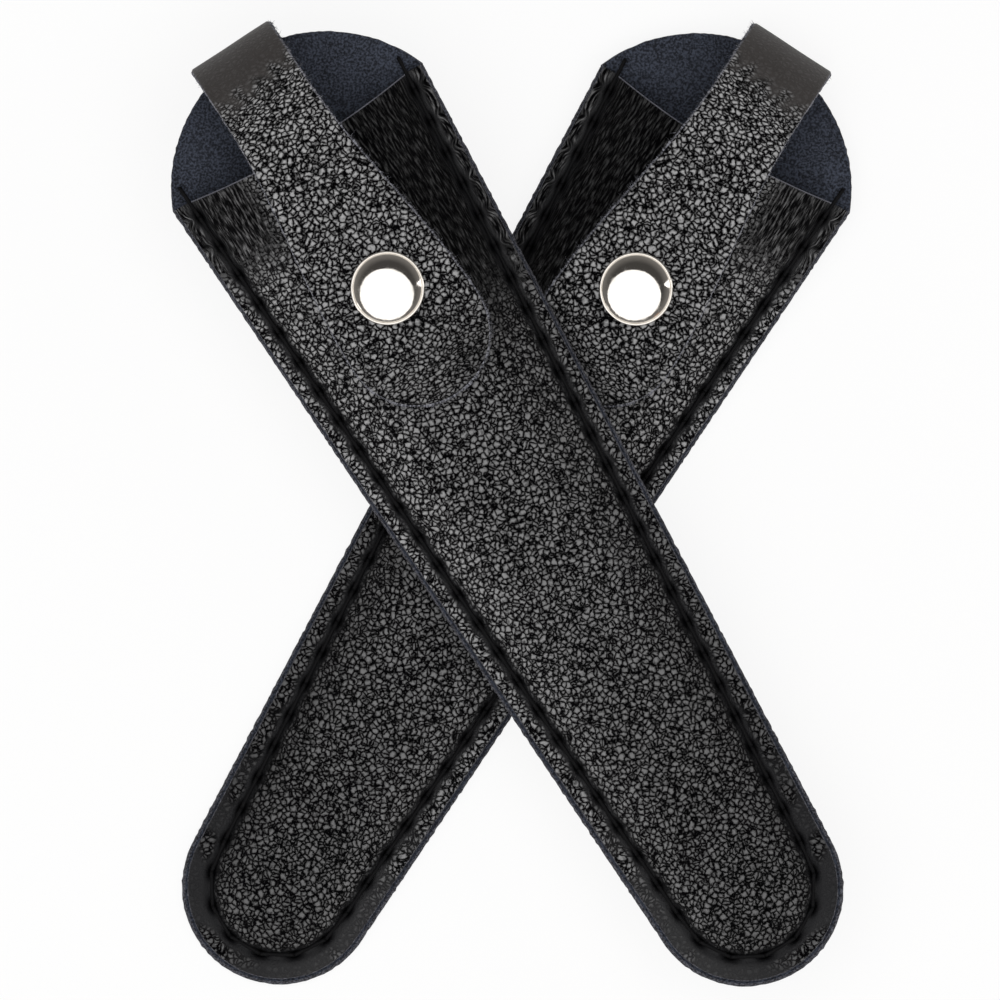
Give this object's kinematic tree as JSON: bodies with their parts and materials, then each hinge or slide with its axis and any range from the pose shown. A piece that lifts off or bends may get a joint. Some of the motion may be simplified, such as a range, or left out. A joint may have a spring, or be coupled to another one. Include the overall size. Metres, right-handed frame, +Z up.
{
  "type": "pair of leather sheaths",
  "caption": "Crossed tapered leather sheaths with round toes, each with a stitched seam and a strap that folds over the mouth and closes with a domed snap.",
  "frame": {"origin": "middle of the pair's box at table level, on the pair's mirror line in X", "axes": "+Z up from the table, +Y towards the mouths along the middle of the X that the sheaths make, +X to the right when the mouths are at the far side"},
  "size_m": [0.1108, 0.1571, 0.0296],
  "materials": {
    "grain_leather": "pebbled, semi-gloss",
    "suede_leather": "suede, matte",
    "strap_leather": "fine grain, semi-gloss, with a raw suede edge",
    "waxed_thread": "waxed twist",
    "polished_snap": "polished plate",
    "plated_rivet": "satin plate",
    "spring_steel": "drawn wire"
  },
  "bodies": {
    "lower_sheath": {"lower_back_panel": "suede_leather", "lower_front_panel": "grain_leather", "lower_needle_thread": "waxed_thread", "lower_bobbin_thread": "waxed_thread", "lower_strap_anchor": "strap_leather", "lower_strap_fold": "strap_leather", "lower_rivet_cap": "plated_rivet", "lower_rivet_post": "plated_rivet", "lower_snap_stud": "polished_snap", "lower_snap_eyelet": "polished_snap"},
    "upper_sheath": {"upper_back_panel": "suede_leather", "upper_front_panel": "grain_leather", "upper_needle_thread": "waxed_thread", "upper_bobbin_thread": "waxed_thread", "upper_strap_anchor": "strap_leather", "upper_strap_fold": "strap_leather", "upper_rivet_cap": "plated_rivet", "upper_rivet_post": "plated_rivet", "upper_snap_stud": "polished_snap", "upper_snap_eyelet": "polished_snap"},
    "lower_flap": {"lower_strap_flap": "strap_leather", "lower_snap_cap": "polished_snap", "lower_snap_socket": "polished_snap", "lower_snap_spring": "spring_steel"},
    "upper_flap": {"upper_strap_flap": "strap_leather", "upper_snap_cap": "polished_snap", "upper_snap_socket": "polished_snap", "upper_snap_spring": "spring_steel"}
  },
  "joints": [
    {"name": "upper_sheath_lift", "type": "slide", "parent": "lower_sheath", "child": "upper_sheath", "axis": [0, 0, 1], "range_m": [0, 0.2]},
    {"name": "upper_flap_open", "type": "hinge", "parent": "upper_sheath", "child": "upper_flap", "pos_m": [-0.04553, 0.07399, 0.02188], "axis": [-0.8387, -0.5446, 0], "range_deg": [0, 160], "deforming": ["upper_strap_fold"]},
    {"name": "lower_flap_open", "type": "hinge", "parent": "lower_sheath", "child": "lower_flap", "pos_m": [0.04553, 0.07399, 0.008], "axis": [-0.8387, 0.5446, 0], "range_deg": [0, 160], "deforming": ["lower_strap_fold"]}
  ],
  "couplings": [
    {"joint": "lower_flap_open", "follows": "upper_sheath_lift", "rad_per_m": 13.96}
  ]
}
